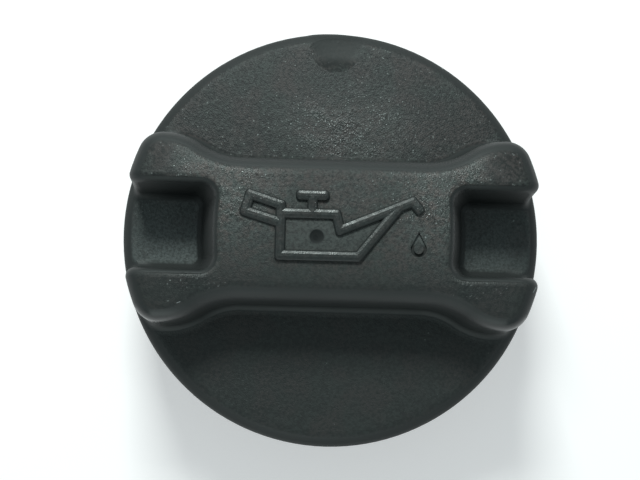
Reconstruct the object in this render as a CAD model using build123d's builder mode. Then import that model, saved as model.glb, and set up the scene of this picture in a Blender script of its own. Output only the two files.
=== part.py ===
"""Oil filler cap: a one-piece moulding with a notched grip bar and a screw-in spigot, and its flat seal ring.

The origin is on the screw axis, in the plane where the seal meets the filler neck. +Z runs up through
the grip, and the grip bar lies along X. Sizes are in millimetres and angles in degrees.
"""

import os
from math import asin, atan2, degrees, radians, sqrt, tan

from build123d import *

# Cap disc, with its crowned top and the skirt that hangs round the seal
cap_radius = 33.0
flange_thickness = 3.5
crown_rise = 0.8
rim_rounding = 2.6
skirt_wall = 2.3
skirt_drop = 1.5
skirt_edge_rounding = 0.7
seat_corner_rounding = 0.5

# Seal ring, stretched over a land on the spigot
seal_thickness = 3.0
seal_land_clearance = 0.1
seal_width = 5.0
seal_edge_rounding = 0.4
seal_squeeze = 0.5

# Screw-in spigot: the seal's land, a plain pilot, then the threaded core
pilot_radius = 21.0
pilot_depth = 4.5
pilot_chamfer = 0.6
land_step = 0.4
spigot_depth = 18.0
spigot_wall = 2.7
spigot_lead_chamfer = 1.0
bore_edge_rounding = 0.6
thread_crest_clearance = 0.2
thread_height = 2.0
thread_pitch = 6.0
thread_crest_width = 1.4
thread_flank_angle = 30.0
thread_root_overlap = 0.3
thread_end_margin = 1.4

# Grip bar: an hourglass in plan, crowned across its top and flush with the rim at both ends
grip_height = 12.5
grip_draft = 3.0
grip_end_setback = 0.8
waist_half_width = 11.2
flare = 3.6
flare_length = 12.0
lobe_corner_radius = 4.4
grip_crown_rise = 1.3
grip_top_rounding = 3.0
grip_root_rounding = 1.7
grip_wall = 2.8
grip_web = 1.8
grip_core_draft = 1.0
grip_core_corner = 1.5
grip_core_margin = 0.5

# Finger notch in each end of the grip bar
notch_half_width = 6.4
notch_length = 15.0
notch_end_slope = 3.1
notch_side_slope = 0.5
notch_end_bow = 0.45
notch_corner_radius = 2.0
notch_edge_rounding = 1.3
notch_overrun = 6.0

# Shallow dish where the moulding was gated, at the rim
gate_dish_width = 7.6
gate_dish_depth = 0.35
gate_dish_setback = 1.6

# Oil-can relief on the grip: raised lines, drawn on their own grid and fitted to the flat between the notches
relief_height = 0.62
relief_root_depth = 0.5
relief_margin = 1.95
relief_grid_half_length = 14.35
relief_grid_half_height = 5.9
relief_line_width = 1.6
relief_bevel_width = 0.6
relief_bevel_depth = 0.15
relief_shoulder_rounding = 0.3
relief_corner_rounding = 0.65
spout_neck = (0.92, -0.23)
spout_bend = (11.8, 4.4)
spout_tip = (12.85, 3.15)
spout_foot = (9.9, 3.6)
can_shoulder = (0.3, 2.2)
can_corner = (-8.1, -4.15)
can_toe_x = 3.7
handle_points = ((-8.1, 3.42), (-12.8, 4.9), (-13.5, 2.35), (-8.1, 0.75))
knob_y = 5.0
knob_centre_x = -3.35
knob_length = 3.8

# Oil drop beside the spout, and the round mark of a mould pin, both sunk into the same flat
drop_centre = (12.85, -2.74)
drop_radius = 1.22
drop_height = 3.8
drop_groove_width = 0.5
drop_groove_depth = 0.5
pin_mark_centre = (-2.58, -1.25)
pin_mark_radius = 1.05
pin_mark_depth = 0.45

# Levels along the axis
seat_level = seal_thickness
crown_level = seat_level + flange_thickness
rim_level = crown_level - crown_rise
grip_foot_level = seat_level + flange_thickness / 2
grip_top_level = crown_level + grip_height
grip_edge_level = grip_top_level - grip_crown_rise
relief_shoulder_level = grip_top_level + relief_height - relief_bevel_depth
shoulder_span = (relief_shoulder_level - relief_bevel_depth / 4, relief_shoulder_level + relief_bevel_depth / 4)
spigot_end_level = -spigot_depth

# Radii of the spigot, the skirt and the seal
skirt_inner_radius = cap_radius - skirt_wall
thread_crest_radius = pilot_radius - thread_crest_clearance
core_radius = thread_crest_radius - thread_height
bore_radius = core_radius - spigot_wall
land_radius = pilot_radius + land_step
seal_inner_radius = land_radius + seal_land_clearance
seal_outer_radius = seal_inner_radius + seal_width

# Helix of the thread, between the pilot and the spigot's end
thread_root_width = thread_crest_width + 2 * thread_height * tan(radians(thread_flank_angle))
thread_start_level = spigot_end_level + thread_end_margin + thread_root_width / 2
thread_rise = -pilot_depth - thread_end_margin - thread_root_width / 2 - thread_start_level

# Corners of the grip's plan, in its first quarter
grip_reach = cap_radius - grip_end_setback
lobe_half_width = waist_half_width + flare
lobe_centre_y = lobe_half_width - lobe_corner_radius
lobe_centre_x = sqrt((grip_reach - lobe_corner_radius) ** 2 - lobe_centre_y**2)
lobe_touch_angle = degrees(atan2(lobe_centre_y, lobe_centre_x))
flare_start = (lobe_centre_x - flare_length, waist_half_width)
flank_middle = (lobe_centre_x - flare_length / 2, waist_half_width + flare / 2)
notch_end_x = grip_reach - notch_length
notch_outer_x = grip_reach + notch_overrun
notch_sections = (
    (grip_foot_level, notch_end_x + notch_end_slope, notch_half_width - notch_side_slope),
    (grip_top_level, notch_end_x, notch_half_width),
)

# Corners of the turned section that are rounded or bevelled
section_roundings = (
    ((cap_radius, rim_level), rim_rounding),
    ((cap_radius, -skirt_drop), skirt_edge_rounding),
    ((skirt_inner_radius, -skirt_drop), skirt_edge_rounding),
    ((skirt_inner_radius, seat_level), seat_corner_rounding),
    ((bore_radius, spigot_end_level), bore_edge_rounding),
)
section_chamfers = (
    ((pilot_radius, -pilot_depth), pilot_chamfer),
    ((core_radius, spigot_end_level), spigot_lead_chamfer),
)

# Hollow cores of the grip, drawn up through the bore on both sides of a web
core_half_width = waist_half_width - grip_wall
core_reach = sqrt((bore_radius - grip_core_margin) ** 2 - core_half_width**2)
core_length = core_reach - grip_web / 2

# Sphere that leaves the gate dish
gate_dish_radius = (gate_dish_width**2 / 4 + gate_dish_depth**2) / (2 * gate_dish_depth)
gate_dish_level = rim_level + gate_dish_radius - gate_dish_depth

# Scale that fits the relief's grid to the flat of the grip
flat_half_length = notch_end_x - notch_edge_rounding - relief_margin
flat_half_width = waist_half_width - grip_top_rounding - relief_margin
relief_scale = min(flat_half_length / relief_grid_half_length, flat_half_width / relief_grid_half_height)

# Ball that leaves the pin mark
pin_ball_radius = (pin_mark_radius**2 + pin_mark_depth**2) / (2 * pin_mark_depth)
pin_mark_level = grip_top_level + pin_ball_radius - pin_mark_depth
pin_mark_x = pin_mark_centre[0] * relief_scale
pin_mark_y = pin_mark_centre[1] * relief_scale

# Points where the relief's strokes start, turn or end
spout_middle = ((spout_neck[0] + spout_bend[0]) / 2, (spout_neck[1] + spout_bend[1]) / 2)
can_top_corner = (can_corner[0], can_shoulder[1])
can_toe = (can_toe_x, can_corner[1])
knob_start = (knob_centre_x - knob_length / 2, knob_y)
knob_end = (knob_centre_x + knob_length / 2, knob_y)
relief_strokes = (
    (spout_tip, spout_bend, spout_middle),
    (spout_middle, spout_neck, can_shoulder, can_top_corner, can_corner, can_toe, spout_foot),
    (*handle_points, handle_points[0]),
    (knob_start, knob_end),
    ((knob_centre_x, knob_y), (knob_centre_x, can_shoulder[1])),
)

with BuildSketch() as can_lines:
    for stroke in relief_strokes:
        with BuildLine():
            Polyline(*stroke)
        trace(line_width=relief_line_width - 2 * relief_corner_rounding)
    offset(amount=relief_corner_rounding)

with BuildSketch() as drop_line:
    with BuildLine():
        drop_tangent = degrees(asin(drop_radius / (drop_height - drop_radius)))
        belly = CenterArc(drop_centre, drop_radius, 180 - drop_tangent, 180 + 2 * drop_tangent)
        drop_tip = (drop_centre[0], drop_centre[1] + drop_height - drop_radius)
        Polyline(belly @ 1, drop_tip, belly @ 0)
    make_face()
    offset(amount=-drop_groove_width, mode=Mode.SUBTRACT)

with BuildPart() as cap_body:
    # Grip bar, drafted from the mould, crowned from side to side and rounded over its top
    with BuildSketch(Plane.XY.offset(grip_foot_level)):
        with BuildLine():
            Line((0, 0), (grip_reach, 0))
            lobe_end = CenterArc((0, 0), grip_reach, 0, lobe_touch_angle)
            lobe_corner = TangentArc(lobe_end @ 1, (lobe_centre_x, lobe_half_width), tangent=lobe_end % 1)
            outer_flank = TangentArc(lobe_corner @ 1, flank_middle, tangent=lobe_corner % 1)
            inner_flank = TangentArc(outer_flank @ 1, flare_start, tangent=outer_flank % 1)
            Polyline(inner_flank @ 1, (0, waist_half_width), (0, 0))
        make_face()
        mirror(about=Plane.XZ)
        mirror(about=Plane.YZ)
    extrude(amount=grip_top_level - grip_foot_level, taper=grip_draft)
    with BuildSketch(Plane.YZ):
        with BuildLine():
            back_edge = (lobe_half_width, grip_edge_level)
            front_edge = (-lobe_half_width, grip_edge_level)
            back_foot = (lobe_half_width, grip_foot_level)
            front_foot = (-lobe_half_width, grip_foot_level)
            ThreePointArc(front_edge, (0, grip_top_level), back_edge)
            Polyline(back_edge, back_foot, front_foot, front_edge)
        make_face()
    extrude(amount=cap_radius, both=True, mode=Mode.INTERSECT)
    fillet(cap_body.faces().sort_by(Axis.Z)[-1].edges(), grip_top_rounding)

    # Finger notches, one in each end, open past the rim, with a bowed inner end and sloped walls
    for turn in (0, 180):
        notch_plane = Plane.XY.rotated((0, 0, turn))
        for level, end_x, half_width in notch_sections:
            with BuildSketch(notch_plane.offset(level)) as notch_plan:
                with BuildLine():
                    ThreePointArc((end_x, half_width), (end_x + notch_end_bow, 0), (end_x, -half_width))
                    Line((end_x, -half_width), (notch_outer_x, -half_width))
                    Line((notch_outer_x, -half_width), (notch_outer_x, half_width))
                    Line((notch_outer_x, half_width), (end_x, half_width))
                make_face()
                fillet(notch_plan.vertices().group_by(Axis.X)[0], notch_corner_radius)
        loft(mode=Mode.SUBTRACT)
    notch_reach = notch_half_width + notch_edge_rounding
    grip_top = cap_body.faces().sort_by(Axis.Z)[-1]
    fillet(grip_top.edges().filter_by_position(Axis.Y, -notch_reach, notch_reach), notch_edge_rounding)

    # Crowned disc, skirt, seal seat and hollow spigot, turned about the screw axis
    with BuildSketch(Plane.XZ) as section:
        with BuildLine():
            TangentArc((0, crown_level), (cap_radius, rim_level), tangent=(1, 0))
            Polyline(
                (cap_radius, rim_level),
                (cap_radius, -skirt_drop),
                (skirt_inner_radius, -skirt_drop),
                (skirt_inner_radius, seat_level),
                (land_radius, seat_level),
                (land_radius, seal_squeeze),
                (pilot_radius, 0),
                (pilot_radius, -pilot_depth),
                (core_radius, -pilot_depth),
                (core_radius, spigot_end_level),
                (bore_radius, spigot_end_level),
                (bore_radius, seat_level),
                (0, seat_level),
                (0, crown_level),
            )
        make_face()
        for corner, radius in section_roundings:
            fillet(section.vertices().sort_by_distance(corner)[0], radius)
        for corner, length in section_chamfers:
            chamfer(section.vertices().sort_by_distance(corner)[0], length)
    revolve(axis=Axis.Z)
    fillet(cap_body.edges(Select.NEW), grip_root_rounding)

    # Hollow cores of the grip, open downwards into the bore
    with BuildSketch(Plane.XY.offset(seat_level)):
        with GridLocations(core_length + grip_web, 0, 2, 1):
            RectangleRounded(core_length, 2 * core_half_width, grip_core_corner)
    extrude(amount=grip_top_level - grip_wall - seat_level, taper=grip_core_draft, mode=Mode.SUBTRACT)

    # Coarse right-hand thread round the spigot
    with BuildLine():
        helix = Helix(thread_pitch, thread_rise, core_radius, center=(0, 0, thread_start_level))
    with BuildSketch(Plane(helix @ 0, x_dir=(1, 0, 0), z_dir=helix % 0)):
        with BuildLine():
            Polyline(
                (-thread_root_overlap, -thread_root_width / 2),
                (0, -thread_root_width / 2),
                (thread_height, -thread_crest_width / 2),
                (thread_height, thread_crest_width / 2),
                (0, thread_root_width / 2),
                (-thread_root_overlap, thread_root_width / 2),
                close=True,
            )
        make_face()
    sweep(is_frenet=True)

    # Shallow dish at the rim where the moulding was gated
    with Locations((0, cap_radius - gate_dish_setback, gate_dish_level)):
        Sphere(gate_dish_radius, mode=Mode.SUBTRACT)

    # Oil-can relief: raised lines with bevelled tops and rounded shoulders
    with BuildSketch(Plane.XY.offset(grip_top_level - relief_root_depth)):
        add(scale(can_lines.sketch, by=relief_scale, mode=Mode.PRIVATE))
    extrude(amount=relief_root_depth + relief_height)
    relief_top = cap_body.faces().sort_by(Axis.Z)[-1]
    chamfer(relief_top.edges(), relief_bevel_width * relief_scale, relief_bevel_depth, reference=relief_top)
    shoulder_edges = cap_body.edges().filter_by_position(Axis.Z, *shoulder_span)
    fillet(shoulder_edges, relief_shoulder_rounding)

    # Outline of the oil drop and the mould pin's mark, sunk into the flat
    with BuildSketch(Plane.XY.offset(grip_top_level)):
        add(scale(drop_line.sketch, by=relief_scale, mode=Mode.PRIVATE))
    extrude(amount=-drop_groove_depth, mode=Mode.SUBTRACT)
    with Locations((pin_mark_x, pin_mark_y, pin_mark_level)):
        Sphere(pin_ball_radius, mode=Mode.SUBTRACT)
cap_body.part.label = "cap_body"

with BuildPart() as seal_ring:
    # Flat rubber ring round the land, against the seat under the flange
    with BuildSketch(Plane.XZ) as ring_section:
        with BuildLine():
            Polyline(
                (seal_inner_radius, 0),
                (seal_outer_radius, 0),
                (seal_outer_radius, seat_level),
                (seal_inner_radius, seat_level),
                close=True,
            )
        make_face()
        fillet(ring_section.vertices(), seal_edge_rounding)
    revolve(axis=Axis.Z)
seal_ring.part.label = "seal_ring"

os.makedirs("parts", exist_ok=True)
export_step(cap_body.part, "parts/cap_body.step")
export_step(seal_ring.part, "parts/seal_ring.step")
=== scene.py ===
from math import cos, hypot, pi, radians, sin

import bmesh
import bpy
from mathutils import Matrix, Vector


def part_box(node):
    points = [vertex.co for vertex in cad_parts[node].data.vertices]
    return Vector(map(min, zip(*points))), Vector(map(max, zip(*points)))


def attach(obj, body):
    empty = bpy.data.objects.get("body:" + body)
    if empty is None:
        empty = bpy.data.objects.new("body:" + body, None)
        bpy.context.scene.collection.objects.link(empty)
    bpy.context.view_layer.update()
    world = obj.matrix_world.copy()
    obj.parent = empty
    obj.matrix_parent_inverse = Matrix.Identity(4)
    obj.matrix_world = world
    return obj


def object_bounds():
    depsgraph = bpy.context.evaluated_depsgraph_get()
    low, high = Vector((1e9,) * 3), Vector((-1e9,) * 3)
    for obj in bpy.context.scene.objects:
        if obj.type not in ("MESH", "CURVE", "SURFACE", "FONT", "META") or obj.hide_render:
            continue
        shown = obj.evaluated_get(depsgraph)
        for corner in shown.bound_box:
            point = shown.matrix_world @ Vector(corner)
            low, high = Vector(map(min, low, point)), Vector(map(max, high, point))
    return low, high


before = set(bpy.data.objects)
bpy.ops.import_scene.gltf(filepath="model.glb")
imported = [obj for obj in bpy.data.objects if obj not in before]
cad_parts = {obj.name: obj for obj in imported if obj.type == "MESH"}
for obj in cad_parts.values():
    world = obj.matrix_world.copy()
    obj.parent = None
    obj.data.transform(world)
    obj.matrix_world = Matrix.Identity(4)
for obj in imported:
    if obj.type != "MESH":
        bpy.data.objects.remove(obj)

cad_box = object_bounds()

# Cap body: the disc, the grip bar, the relief and the threaded spigot, moulded in one shot.
# It is glass-filled black nylon. The flats of the mould were spark-eroded, so they leave a coarse sparkling
# grain, while the walls, the roundings and the cut lines of the relief were polished and come out smooth.
mm_per_m = 1000.0


class Socket:
    """One output in a material's node tree. Sums of sockets and numbers add Math nodes to the tree."""

    def __init__(self, tree, output=None):
        self.tree = tree
        self.output = output

    def node(self, kind, settings, sockets, output=0):
        """Adds a node of this kind, sets its settings, fills its sockets and gives one of its outputs."""
        node = self.tree.nodes.new(kind)
        for name, value in settings.items():
            setattr(node, name, value)
        for name, value in sockets.items():
            if isinstance(value, Socket):
                self.tree.links.new(value.output, node.inputs[name])
            else:
                node.inputs[name].default_value = value
        return Socket(self.tree, node.outputs[output] if node.outputs else None)

    def math(self, operation, first, second=0.0):
        """Adds a Math node on one or two values."""
        return self.node("ShaderNodeMath", {"operation": operation}, {0: first, 1: second})

    def __add__(self, other):
        return self.math("ADD", self, other)

    def __sub__(self, other):
        return self.math("SUBTRACT", self, other)

    def __rsub__(self, other):
        return self.math("SUBTRACT", other, self)

    def __mul__(self, other):
        return self.math("MULTIPLY", self, other)

    def __neg__(self):
        return self.math("SUBTRACT", 0.0, self)

    def __abs__(self):
        return self.math("ABSOLUTE", self)

    __radd__ = __add__
    __rmul__ = __mul__


def material(name):
    """A new material with an empty node tree, and a socket to start its expressions from."""
    finish = bpy.data.materials.new(name)
    finish.use_nodes = True
    finish.node_tree.nodes.clear()
    return finish, Socket(finish.node_tree)


def step(value, band):
    """0 below a band of values, 1 above it and a smooth rise between."""
    low, high = band
    return value.node(
        "ShaderNodeMapRange",
        {"interpolation_type": "SMOOTHSTEP"},
        {"Value": value, "From Min": low, "From Max": high},
    )


def fade(value, band):
    """1 below a band of values, 0 above it and a smooth fall between."""
    return 1.0 - step(value, band)


def largest(first, *others):
    """The largest of some values."""
    for other in others:
        first = first.math("MAXIMUM", first, other)
    return first


def at_least(least, mask):
    """A share that is this least where the mask is 0, and the whole where it is 1."""
    return least + (1.0 - least) * mask


def mix(factor, first, second):
    """The first colour where the factor is 0, the second where it is 1."""
    return factor.node("ShaderNodeMix", {"data_type": "RGBA"}, {0: factor, 6: first, 7: second}, 2)


def noise(place, size, detail=2.0, roughness=0.5):
    """Noise whose bumps are about this size, in the unit of the place."""
    return place.node(
        "ShaderNodeTexNoise",
        {},
        {"Vector": place, "Scale": 1.0 / size, "Detail": detail, "Roughness": roughness},
    )


def cells(place, size, output):
    """Cells of about this size, seen from above: a Color for each, or the Distance from its middle."""
    return place.node(
        "ShaderNodeTexVoronoi",
        {"voronoi_dimensions": "2D"},
        {"Vector": place, "Scale": 1.0 / size},
        output,
    )


def place_in_mm(start):
    """The point on the object, in millimetres."""
    point = start.node("ShaderNodeTexCoord", {}, {}, "Object")
    return start.node("ShaderNodeVectorMath", {"operation": "SCALE"}, {0: point, "Scale": mm_per_m})


def axis(vector, name):
    """The X, Y or Z part of a vector."""
    return vector.node("ShaderNodeSeparateXYZ", {}, {"Vector": vector}, name)


def distance(x, y, centre):
    """Distance from a point, seen from above."""
    across = x - centre[0]
    along = y - centre[1]
    return x.math("SQRT", across * across + along * along)


def within(x, y, corners, softness):
    """1 inside an outline without hollows, given anticlockwise and seen from above, and 0 outside it."""
    mask = 1.0
    for (x0, y0), (x1, y1) in zip(corners, corners[1:] + corners[:1]):
        length = hypot(x1 - x0, y1 - y0)
        depth = (y - y0) * ((x1 - x0) / length) - (x - x0) * ((y1 - y0) / length)
        mask = mask * step(depth, (-softness, softness))
    return mask


def bump_in_mm(height):
    """A bump of the surface by a height in millimetres."""
    return height.node("ShaderNodeBump", {}, {"Strength": 1.0, "Distance": 1.0 / mm_per_m, "Height": height})


def surface(start, sockets):
    """Ends a material in one principled shader."""
    shader = start.node("ShaderNodeBsdfPrincipled", {}, sockets)
    start.node("ShaderNodeOutputMaterial", {}, {"Surface": shader})


# The point on the cap in millimetres. X runs along the grip bar, Y to its upper side and Z up.
cap_finish, start = material("cap_plastic_finish")
place = place_in_mm(start)
x = axis(place, "X")
y = axis(place, "Y")
z = axis(place, "Z")
along_bar = abs(x)
across_bar = abs(y)
radius = distance(x, y, (0.0, 0.0))
facing = start.node("ShaderNodeTexCoord", {}, {}, "Normal")
upright = axis(facing, "Z")
flat_band = (0.87, 0.96)
flat = step(upright, flat_band)

# The top of the bar, which is crowned across its width, and the raised lines of the sign on it.
relief_height = 0.62
bar_half_width = 14.8
bar_crown_rise = 1.3
bar_top_band = (-0.9, -0.6)
relief_band = (0.12, 0.32)
bar_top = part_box("cap_body")[1].z * mm_per_m - relief_height
cap_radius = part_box("cap_body")[1].x * mm_per_m
over_bar = z - bar_top + y * y * (bar_crown_rise / bar_half_width**2)
on_bar = step(over_bar, bar_top_band)
on_relief = step(over_bar, relief_band)

# The field of the oil can, and in it the round hollow of a mould pin, with painted shade darkest off its
# middle.
sign_scale = 0.972
can_belly = ((-7.3, -3.4), (1.5, -3.4), (0.7, -0.4), (-0.3, 1.4), (-7.3, 1.4))
can_throat = ((0.6, -3.4), (3.3, -3.4), (8.4, 2.4), (0.8, -0.8))
can_softness = 0.5
pin_mark = (-2.58, -1.25)
pin_mark_band = (0.55, 1.45)
pin_core = (-2.75, -1.4)
pin_core_band = (0.3, 0.5)
pin_mark_share = 0.85
sign_x = x * (1.0 / sign_scale)
sign_y = y * (1.0 / sign_scale)
in_belly = within(sign_x, sign_y, can_belly, can_softness)
in_throat = within(sign_x, sign_y, can_throat, can_softness)
in_can = on_bar * largest(in_belly, in_throat)
in_pin_core = fade(distance(sign_x, sign_y, pin_core), pin_core_band)
in_pin_mark = on_bar * fade(distance(sign_x, sign_y, pin_mark), pin_mark_band)
in_pin_mark = in_pin_mark * at_least(pin_mark_share, in_pin_core)

# The groove of the drop, round the bowl below and round the neck above, and the dish at the gate.
drop_centre = (12.85, -2.74)
drop_radius = 1.22
drop_neck = ((11.8, -2.1), (13.9, -2.1), (12.85, -0.2))
drop_softness = 0.2
groove_band = (0.08, 0.2)
neck_band = (-2.5, -1.7)
gate_dish_setback = 1.6
gate_dish_band = (3.0, 4.8)
in_bowl = fade(distance(sign_x, sign_y, drop_centre), (drop_radius, drop_radius + drop_softness))
in_drop = on_bar * largest(in_bowl, within(sign_x, sign_y, drop_neck, drop_softness))
in_groove = in_drop * step(-over_bar, groove_band)
in_bowl_groove = in_groove * fade(sign_y, neck_band)
in_neck_groove = in_groove - in_bowl_groove
in_gate_dish = fade(distance(x, y, (0.0, cap_radius - gate_dish_setback)), gate_dish_band)

# Polish and grain: the hollows are smooth and dull, the relief is half polished, other flats are grained.
drop_sunk = 0.25
bowl_groove_sunk = 0.4
gate_dish_sunk = 0.25
relief_smooth = 0.6
gate_dish_smooth = 0.9
grain_lost_to_polish = 0.92
grain_lost_in_can = 0.35
sunk = largest(
    drop_sunk * in_drop + bowl_groove_sunk * in_bowl_groove,
    in_pin_mark,
    gate_dish_sunk * in_gate_dish,
)
polished = largest(relief_smooth * on_relief, gate_dish_smooth * in_gate_dish, sunk)
grained = flat * (1.0 - grain_lost_to_polish * polished) * (1.0 - grain_lost_in_can * in_can)

# Wear and painted highlight: the bar's top is lightened, most in the can, more on its upper half and beside
# the can.
# Partly hands rubbing it, partly painted highlight where the lamp's light falls on the crowned top.
hand_start = (7.0, 14.0)
hand_end = (20.0, 27.0)
hand_rise = (-7.0, 4.0)
hand_wear_sheen = 0.36
lower_edge_rise = (-9.0, -5.0)
lower_edge_wear_sheen = 0.35
upper_half_rise = (-6.0, 0.0)
upper_half_wear_sheen = 0.25
can_wear_sheen = 0.75
wear_sheen_end = (19.0, 26.0)
handled = step(along_bar, hand_start) * fade(along_bar, hand_end)
wear_sheen = lower_edge_wear_sheen * step(y, lower_edge_rise) + upper_half_wear_sheen * step(y, upper_half_rise)
wear_sheen = wear_sheen + hand_wear_sheen * handled * step(y, hand_rise) + can_wear_sheen * in_can
wear_sheen = wear_sheen * on_bar * fade(along_bar, wear_sheen_end)

# Dust and painted light on the notch floors, which the notch walls shade: less on the right, on the upper
# side and at the mouths.
# The upper side lies in the upper lobe's shadow, so it is lifted less.
notch_start = (18.0, 22.0)
notch_side = (3.8, 6.1)
notch_floor = (8.0, 8.5)
right_notch = (0.0, 1.0)
right_notch_less = 0.3
notch_upper_side = (-2.5, 2.5)
upper_side_less = 0.35
notch_mouth = (26.0, 31.0)
mouth_less = 0.5
notch_dust_and_painted_light = flat * step(along_bar, notch_start) * fade(across_bar, notch_side) * fade(z, notch_floor)
notch_dust_and_painted_light = notch_dust_and_painted_light * (1.0 - right_notch_less * step(x, right_notch))
notch_dust_and_painted_light = notch_dust_and_painted_light * (1.0 - upper_side_less * step(y, notch_upper_side))
notch_dust_and_painted_light = notch_dust_and_painted_light * (1.0 - mouth_less * step(along_bar, notch_mouth))

# Sparkle: the grain is coarsest in a patch of the disc above the bar, on the bar's upper shoulders
# and on the strips of its top beside the notches.
disc_patch = (1.5, 17.0)
disc_patch_squeeze = 0.6
disc_patch_band = (1.5, 9.0)
shoulder_patch = (15.5, 7.0)
shoulder_patch_band = (4.0, 11.0)
notch_edge = (6.6, 7.4)
notch_edge_end = (8.5, 12.0)
notch_inner_end = (13.0, 17.0)
notch_outer_end = (25.0, 29.0)
bar_sparkle_rise = (-9.0, 3.0)
bar_sparkle = 0.3
shoulder_sparkle = 0.5
notch_edge_sparkle = 0.6
cloud_band = (0.42, 0.58)
sparkle_cloud_size = 4.0
sparkle_between_clouds = 0.35
cluster_size = 7.0
glints_between_clusters = 0.4
in_disc_patch = fade(distance(disc_patch_squeeze * x, y, disc_patch), disc_patch_band)
on_shoulder = on_bar * fade(distance(along_bar, y, shoulder_patch), shoulder_patch_band)
beside_notch = on_bar * step(across_bar, notch_edge) * fade(across_bar, notch_edge_end)
beside_notch = beside_notch * step(along_bar, notch_inner_end) * fade(along_bar, notch_outer_end)
on_bar_sparkle = largest(
    shoulder_sparkle * on_shoulder + bar_sparkle * step(y, bar_sparkle_rise),
    notch_edge_sparkle * beside_notch,
)
sparkle_clouds = at_least(sparkle_between_clouds, step(noise(place, sparkle_cloud_size), cloud_band))
sparkling = (in_disc_patch * (1.0 - on_bar) + on_bar * on_bar_sparkle) * sparkle_clouds * grained
glint_clouds = at_least(glints_between_clusters, step(noise(place, cluster_size), cloud_band))
clusters = largest(in_disc_patch, on_shoulder) * glint_clouds

# Glints: painted highlights, single grains and cells painted pale and made shinier, gathered where the
# lamp's highlight falls.
# They are rare on the lower side, away from the lamp.
calm_side_end = (-4.0, 4.0)
glint_size = 0.5
glint_band = (0.71, 0.79)
glint_gathering = 0.05
glint_calm = 0.08
fleck_size = 0.36
fleck_band = (0.94, 1.06)
fleck_gathering = 0.22
fleck_calm = 0.12
fleck_edge = (0.2, 0.5)
calm_side = fade(y, calm_side_end) * (1.0 - beside_notch)
glint_chance = noise(place, glint_size, 1.0) + glint_gathering * clusters - glint_calm * calm_side
fleck_chance = axis(cells(place, fleck_size, "Color"), "X")
fleck_chance = fleck_chance + fleck_gathering * clusters - fleck_calm * calm_side
painted_glint_flecks = step(fleck_chance, fleck_band) * fade(cells(place, fleck_size, "Distance"), fleck_edge)
glints = largest(step(glint_chance, glint_band), painted_glint_flecks) * grained

# Scratches and nicks, each from one point to another with a width.
scratches = (
    ((-22.8, -11.5), (-22.1, -11.2), 0.08),
    ((29.6, -8.6), (30.2, -7.6), 0.10),
    ((16.0, 29.2), (17.4, 27.6), 0.16),
    ((13.4, -1.1), (13.5, -0.7), 0.16),
    ((14.8, 1.15), (15.2, 1.25), 0.14),
)
scratch_taper = 0.2
scratch_core = 0.3
scratched_slope = (0.2, 0.4)


def scratch(x, y, begin, end, width):
    """1 along a short straight scratch that tapers at both ends, seen from above."""
    run_x = end[0] - begin[0]
    run_y = end[1] - begin[1]
    length = hypot(run_x, run_y)
    along = (x - begin[0]) * (run_x / length) + (y - begin[1]) * (run_y / length)
    across = abs((y - begin[1]) * (run_x / length) - (x - begin[0]) * (run_y / length))
    tapered = step(along, (0.0, scratch_taper)) * fade(along, (length - scratch_taper, length))
    return fade(across, (scratch_core * width, width)) * tapered


scratched = sum(scratch(x, y, *mark) for mark in scratches) * step(upright, scratched_slope)

# Marks of the mould: its parting line round the rim, and the round feet of the ejector pins under the disc.
parting_level = 2.6
parting_band = (0.05, 0.14)
parting_reach = (cap_radius - 0.3, cap_radius - 0.1)
parting_height = 0.06
ejector_count = 6
ejector_circle = 28.6
ejector_band = (1.1, 1.2)
ejector_slope = (-0.9, -0.6)
ejector_depth = 0.1
parting = step(radius, parting_reach) * fade(abs(z - parting_level), parting_band)
ejector_turn = start.math("PINGPONG", start.math("ARCTAN2", y, x), pi / ejector_count)
ejector_distance = distance(radius, ejector_turn * ejector_circle, (ejector_circle, 0.0))
ejected = fade(ejector_distance, ejector_band) * fade(upright, ejector_slope)

# Height: a fine grain drawn out across the bar, a slow ripple, glints, sparkle and the marks of the mould.
grain_size = 0.17
grain_stretch = (1.3, 0.7, 1.0)
grain_height = 0.075
ripple_size = 1.0
ripple_height = 0.04
glint_height = 0.09
sparkle_size = 0.36
sparkle_height = 0.11
grain_place = start.node("ShaderNodeVectorMath", {"operation": "MULTIPLY"}, {0: place, 1: grain_stretch})
height = grain_height * noise(grain_place, grain_size, 1.0) * grained
height = height + ripple_height * noise(place, ripple_size, 1.0) * flat
height = height + glint_height * glints
height = height + sparkle_height * noise(grain_place, sparkle_size, 1.0) * sparkling
height = height + parting_height * parting - ejector_depth * ejected

# Colour: dark and pale grains, cool and warm by turns, painted calmer on the lower side away from the lamp's
# sparkle, and over them painted glints, wear with painted highlight, dust with painted light and painted
# shade in hollows.
plastic_dark = (0.003, 0.0038, 0.0038, 1.0)
plastic_cool = (0.0215, 0.0266, 0.0243, 1.0)
plastic_warm = (0.0305, 0.0244, 0.0236, 1.0)
plastic_calm = (0.0135, 0.0156, 0.0148, 1.0)
smooth_colour = (0.0130, 0.0147, 0.0145, 1.0)
painted_shade_colour = (0.005, 0.006, 0.0064, 1.0)
wear_sheen_cool = (0.053, 0.060, 0.056, 1.0)
wear_sheen_warm = (0.071, 0.058, 0.054, 1.0)
painted_glint_colour = (0.17, 0.178, 0.174, 1.0)
dust_and_painted_light_colour = (0.118, 0.132, 0.130, 1.0)
scratch_colour = (0.20, 0.21, 0.21, 1.0)
patch_size = 9.0
patch_contrast = 0.25
tint_size = 4.5
tint_band = (0.38, 0.62)
wear_sheen_tint_size = 1.3
wear_sheen_tint_band = (0.4, 0.6)
wear_sheen_tint_lost_in_can = 0.9
speckle_size = 0.5
fine_speckle_size = 0.4
speckle_roughness = 0.6
speckle_band = (0.36, 0.64)
calm_colour_end = (-8.0, 8.0)
calm_colour_share = 0.55
disc_patch_painted_highlight = 0.2
wear_sheen_between_specks = 0.15
dust_and_light_between_specks = 0.45
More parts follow.
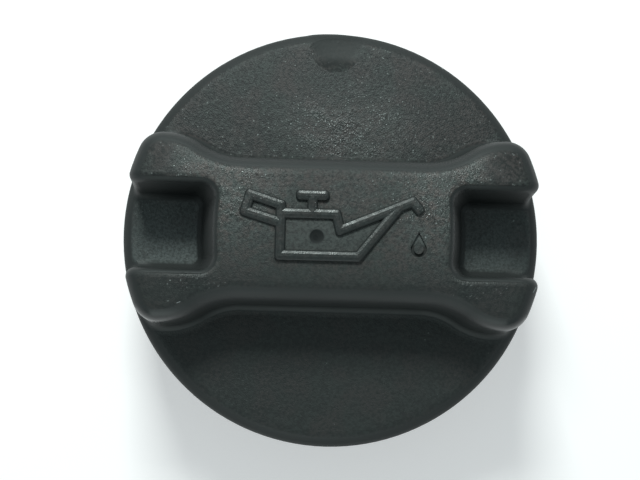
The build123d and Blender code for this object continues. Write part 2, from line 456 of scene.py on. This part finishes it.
neck_groove_dust_and_light = 0.45
bowl_groove_painted_shade = 0.3
patches = noise(place, patch_size, 3.0) - 0.5
speckle = noise(place, speckle_size, 2.0, speckle_roughness)
fine_specks = step(noise(place, fine_speckle_size, 2.0, speckle_roughness), speckle_band)
plastic_pale = mix(step(noise(place, tint_size, 1.0), tint_band), plastic_cool, plastic_warm)
wear_sheen_tint = step(noise(place, wear_sheen_tint_size), wear_sheen_tint_band) * (1.0 - wear_sheen_tint_lost_in_can * in_can)
wear_sheen_colour = mix(wear_sheen_tint, wear_sheen_cool, wear_sheen_warm)
colour = mix(step(speckle + patch_contrast * patches, speckle_band), plastic_dark, plastic_pale)
# Painted: the lower side is calmed towards one even colour, as the lamp's sparkle fades there.
colour = mix(calm_colour_share * fade(y, calm_colour_end), colour, plastic_calm)
# Painted highlight: the disc is lightened in the patch above the bar, where the lamp's highlight falls.
colour = mix(disc_patch_painted_highlight * in_disc_patch, colour, wear_sheen_colour)
# Painted highlight: the glints are painted pale.
colour = mix(glints, colour, painted_glint_colour)
# Wear and painted highlight: the bar's top is lightened in specks.
colour = mix(wear_sheen * at_least(wear_sheen_between_specks, fine_specks), colour, wear_sheen_colour)
colour = mix(grained, smooth_colour, colour)
# Painted shade: the hollow of the mould pin is painted dark, darkest off its middle.
colour = mix(in_pin_mark, colour, painted_shade_colour)
# Dust and painted light: the notch floors are lifted with a pale colour in specks.
colour = mix(notch_dust_and_painted_light * at_least(dust_and_light_between_specks, fine_specks), colour, dust_and_painted_light_colour)
# Dust and painted light: the groove round the neck of the drop is lifted with the pale colour.
colour = mix(neck_groove_dust_and_light * in_neck_groove, colour, dust_and_painted_light_colour)
# Painted shade: the groove round the bowl of the drop is painted dark.
colour = mix(bowl_groove_painted_shade * in_bowl_groove, colour, painted_shade_colour)
colour = mix(scratched, colour, scratch_colour)

# Roughness: the glints, the sparkle, the middle of the relief and the lower walls of the bar's ends shine.
# The hollows, the rim, the root of the bar and what hands don't reach on its top stay dull.
flat_roughness = 0.545
smooth_roughness = 0.56
relief_roughness = 0.32
sunk_roughness = 0.95
glint_shine = 0.24
sparkle_shine = 0.2
relief_middle = (-2.0, 0.0)
relief_middle_squeeze = 0.6
relief_middle_band = (4.5, 13.0)
relief_end_share = 0.35
relief_rub_size = 1.1
relief_rub_band = (0.42, 0.56)
relief_rub_share = 0.55
unhandled_dullness = 0.14
root_slope = (0.1, 0.2)
root_level = (8.5, 10.0)
root_end = (28.0, 30.0)
root_dullness = 0.22
rim_reach = (cap_radius - 1.8, cap_radius - 0.5)
rim_level = (7.0, 8.5)
rim_dullness = 0.2
right_end_start = (20.0, 25.0)
right_end_rise = (0.0, 5.0)
right_end_dullness = 0.10
lobe_start = (20.0, 26.0)
lobe_slope = (0.3, 0.6)
lobe_level = (7.5, 9.0)
lobe_side = (8.0, 10.0)
lobe_shine = 0.28
patch_dullness = 0.10
towards_upper_side = axis(facing, "Y")
in_relief_middle = fade(distance(x, relief_middle_squeeze * y, relief_middle), relief_middle_band)
relief_rub = at_least(relief_rub_share, step(noise(place, relief_rub_size), relief_rub_band))
relief_shine = on_relief * at_least(relief_end_share, in_relief_middle) * relief_rub
at_root = step(towards_upper_side, root_slope) * fade(z, root_level) * fade(radius, root_end)
at_rim = step(radius, rim_reach) * fade(z, rim_level)
at_right_end = on_bar * step(x, right_end_start) * step(y, right_end_rise)
under_lobe = step(along_bar, lobe_start) * step(across_bar, lobe_side) * step(z, lobe_level)
under_lobe = under_lobe * step(-towards_upper_side, lobe_slope)
unhandled = on_bar * (1.0 - handled) * (1.0 - on_relief) * grained
roughness = smooth_roughness + (flat_roughness - smooth_roughness) * grained
roughness = roughness + (relief_roughness - smooth_roughness) * relief_shine
roughness = roughness + (sunk_roughness - smooth_roughness) * sunk
roughness = roughness - glint_shine * glints - sparkle_shine * sparkling - lobe_shine * under_lobe
roughness = roughness + unhandled_dullness * unhandled + right_end_dullness * at_right_end
roughness = roughness + root_dullness * at_root + rim_dullness * at_rim + patch_dullness * patches
surface(
    start,
    {
        "Base Color": colour,
        "Roughness": roughness,
        "Specular IOR Level": 0.50,
        "Normal": bump_in_mm(height),
    },
)
cap_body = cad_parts["cap_body"]
cap_body.data.materials.clear()
cap_body.data.materials.append(cap_finish)

# Gate vestige: the low stub left on the rim where the moulding was cut off its runner.
# It is part of the same shot of plastic, half sunk in the rim beside the dish, with a flat trimmed face.
stub_half_size = Vector((0.0047, 0.0006, 0.0014))
stub_centre = Vector((-0.0005, cap_radius / mm_per_m - 0.0003, 0.0022))
stub_trim_y = cap_radius / mm_per_m + 0.00021
stub_mesh = bpy.data.meshes.new("gate_vestige")
stub = bmesh.new()
bmesh.ops.create_uvsphere(stub, u_segments=64, v_segments=32, radius=1.0)
bmesh.ops.scale(stub, verts=stub.verts, vec=stub_half_size)
bmesh.ops.translate(stub, verts=stub.verts, vec=stub_centre)
for face in stub.faces:
    face.smooth = True
trimmed = bmesh.ops.bisect_plane(
    stub,
    geom=stub.verts[:] + stub.edges[:] + stub.faces[:],
    plane_co=(0.0, stub_trim_y, 0.0),
    plane_no=(0.0, 1.0, 0.0),
    clear_outer=True,
)
trim_edges = [element for element in trimmed["geom_cut"] if isinstance(element, bmesh.types.BMEdge)]
bmesh.ops.edgenet_fill(stub, edges=trim_edges)
bmesh.ops.recalc_face_normals(stub, faces=stub.faces)
stub.to_mesh(stub_mesh)
stub.free()
stub_mesh.materials.append(cap_finish)
gate_vestige = bpy.data.objects.new("gate_vestige", stub_mesh)
bpy.context.scene.collection.objects.link(gate_vestige)
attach(gate_vestige, "root")

# Seal ring: a flat ring of black oil-proof rubber, pushed up over the land under the disc.
# It comes from a turned mould, which leaves fine rings, and is dusted with talc, so it is dull.
rubber_colour = (0.018, 0.018, 0.019, 1.0)
talc_colour = (0.045, 0.045, 0.045, 1.0)
talc_size = 2.5
talc_band = (0.5, 0.75)
rubber_roughness = 0.72
talc_roughness = 0.15
rubber_grain_size = 0.2
rubber_grain_height = 0.012
turned_ring_pitch = 0.8
turned_ring_height = 0.012
seal_finish, start = material("seal_rubber_finish")
place = place_in_mm(start)
talc = noise(place, talc_size, 4.0)
ring_radius = distance(axis(place, "X"), axis(place, "Y"), (0.0, 0.0))
turned_rings = start.math("SINE", ring_radius * (2.0 * pi / turned_ring_pitch))
rubber_height = rubber_grain_height * noise(place, rubber_grain_size) + turned_ring_height * turned_rings
surface(
    start,
    {
        "Base Color": mix(step(talc, talc_band), rubber_colour, talc_colour),
        "Roughness": rubber_roughness + talc_roughness * talc,
        "Normal": bump_in_mm(rubber_height),
    },
)
seal_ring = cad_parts["seal_ring"]
seal_ring.data.materials.clear()
seal_ring.data.materials.append(seal_finish)

# Floor: a plain sheet of white paper, laid flat under the end of the spigot.
# It shows white to the camera and in reflections, keeps the cap's soft shadow and lights it as paper does.
floor_half_width = 1.5
paper_colour = (0.80, 0.82, 0.82, 1.0)
shown_colour = (0.86, 0.80, 0.81, 1.0)
glow_colour = (1.0, 1.0, 1.0, 1.0)
glow_strength = 0.32
floor_mesh = bpy.data.meshes.new("floor")
sheet = bmesh.new()
bmesh.ops.create_grid(sheet, x_segments=1, y_segments=1, size=floor_half_width)
bmesh.ops.translate(sheet, verts=sheet.verts, vec=(0.0, 0.0, cad_box[0][2]))
sheet.to_mesh(floor_mesh)
sheet.free()
floor = bpy.data.objects.new("floor", floor_mesh)
bpy.context.scene.collection.objects.link(floor)
floor_finish, start = material("floor_sheet")
seen = start.node("ShaderNodeLightPath", {}, {}, "Is Camera Ray")
mirrored = start.node("ShaderNodeLightPath", {}, {}, "Is Glossy Ray")
through = start.node("ShaderNodeLightPath", {}, {}, "Is Transmission Ray")
paper = start.node("ShaderNodeBsdfDiffuse", {}, {"Color": paper_colour})
shown_paper = start.node("ShaderNodeBsdfDiffuse", {}, {"Color": shown_colour})
glow = start.node("ShaderNodeEmission", {}, {"Color": glow_colour, "Strength": glow_strength})
bright_paper = start.node("ShaderNodeAddShader", {}, {0: shown_paper, 1: glow})
shown = start.node("ShaderNodeMixShader", {}, {0: seen + mirrored + through, 1: paper, 2: bright_paper})
start.node("ShaderNodeOutputMaterial", {}, {"Surface": shown})
floor_mesh.materials.append(floor_finish)

# Light: one compact lamp above the top edge of the picture, a weak wide one low on the other side,
# and a pale, slightly cool room all round.
lamp_colour = (0.885, 1.0, 0.965)
key_position = (-0.038, 0.211, 0.266)
key_target = (0.0, 0.0, 0.01)
key_width = 0.09
key_power = 0.97
fill_position = (-0.05, -0.40, 0.15)
fill_target = (0.0, 0.0, 0.0)
fill_width = 0.30
fill_power = 0.32
room_colour = (0.79, 0.98, 1.0, 1.0)
room_strength = 0.38
scene = bpy.context.scene
scene.view_settings.view_transform = "Standard"


def lamp(name, position, target, width, power):
    """A flat square lamp at a position, turned to a target."""
    light = bpy.data.lights.new(name, "AREA")
    light.shape = "SQUARE"
    light.color = lamp_colour
    light.size = width
    light.energy = power
    holder = bpy.data.objects.new(name, light)
    holder.location = position
    holder.rotation_euler = (Vector(target) - Vector(position)).to_track_quat("-Z", "Y").to_euler()
    scene.collection.objects.link(holder)


lamp("key_lamp", key_position, key_target, key_width, key_power)
lamp("fill_lamp", fill_position, fill_target, fill_width, fill_power)
room = bpy.data.worlds.new("room")
room.use_nodes = True
room.node_tree.nodes["Background"].inputs["Color"].default_value = room_colour
room.node_tree.nodes["Background"].inputs["Strength"].default_value = room_strength
scene.world = room

# Camera: close above the cap, a little towards the lower left, as the photograph was taken.
# It is turned a little about its own axis, because the bar lies slightly askew in the photograph.
camera_position = Vector((-0.0052, -0.0165, 0.193))
camera_target = Vector((-0.00173, -0.00036, 0.003))
camera_roll_deg = 1.5
camera_lens_mm = 67.1
camera_sensor_mm = 36.0
camera_clip_start = 0.01
camera_data = bpy.data.cameras.new("camera")
camera_data.sensor_fit = "HORIZONTAL"
camera_data.sensor_width = camera_sensor_mm
camera_data.lens = camera_lens_mm
camera_data.clip_start = camera_clip_start
camera = bpy.data.objects.new("camera", camera_data)
forward = (camera_target - camera_position).normalized()
picture_up = Vector((-sin(radians(camera_roll_deg)), cos(radians(camera_roll_deg)), 0.0))
right = forward.cross(picture_up).normalized()
turn = Matrix((right, right.cross(forward), -forward)).transposed()
camera.matrix_world = Matrix.Translation(camera_position) @ turn.to_4x4()
scene.collection.objects.link(camera)
scene.camera = camera
